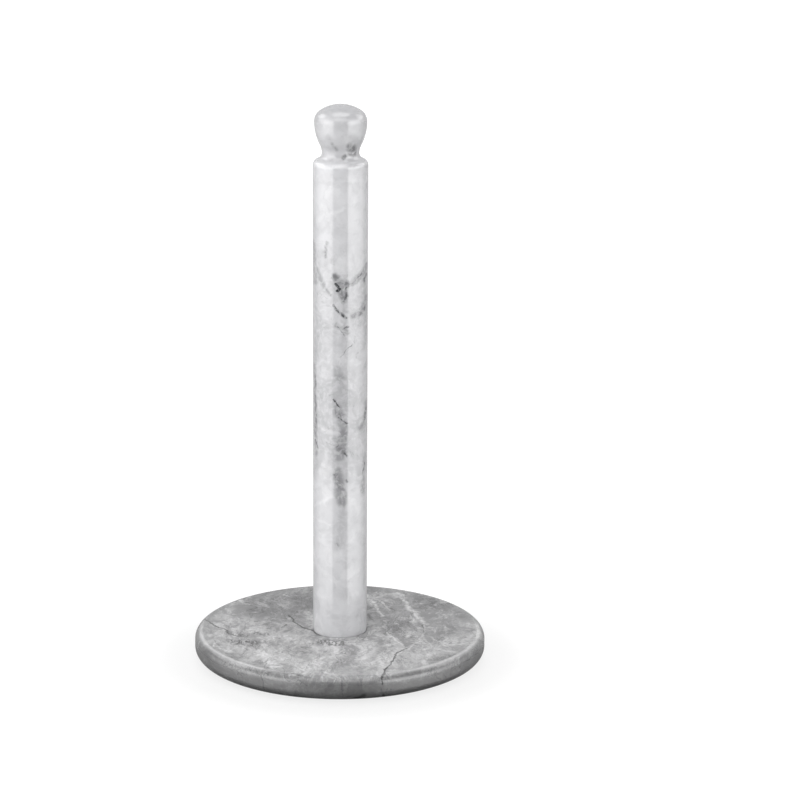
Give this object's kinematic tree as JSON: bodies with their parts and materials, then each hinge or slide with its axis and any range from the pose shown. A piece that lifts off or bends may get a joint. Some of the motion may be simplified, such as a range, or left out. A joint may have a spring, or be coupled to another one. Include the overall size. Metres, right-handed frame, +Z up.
{
  "type": "paper towel holder",
  "caption": "Free-standing paper towel holder: a polished marble post with a turned knob, clamped to a round marble base by a glued-in stud and a sunk nut.",
  "frame": {"origin": "on the surface it stands on, under the post's axis: the middle of the underside's box, level with the pads' lower faces", "axes": "+Z up along the post's axis; the four pads lie on the diagonals between X and Y, with foot_pad_1 at +X +Y"},
  "size_m": [0.165, 0.165, 0.318],
  "materials": {
    "grey_marble": "polished",
    "white_marble": "polished",
    "zinc_plated_steel": "satin",
    "spring_steel": "satin",
    "cast_resin": "gloss",
    "clear_silicone": "satin",
    "red_fibre": "matte",
    "black_rubber": "matte",
    "adhesive_tape": "matte"
  },
  "bodies": {
    "root": {"base": "grey_marble", "post": "white_marble", "threaded_stud": "zinc_plated_steel", "stud_resin": "cast_resin", "foot_gasket": "clear_silicone", "cushion_washer": "red_fibre", "flat_washer": "zinc_plated_steel", "spring_washer": "spring_steel", "jam_nut": "zinc_plated_steel", "foot_pad_1": "black_rubber", "foot_pad_2": "black_rubber", "foot_pad_3": "black_rubber", "foot_pad_4": "black_rubber", "pad_tape_1": "adhesive_tape", "pad_tape_2": "adhesive_tape", "pad_tape_3": "adhesive_tape", "pad_tape_4": "adhesive_tape"}
  },
  "joints": []
}
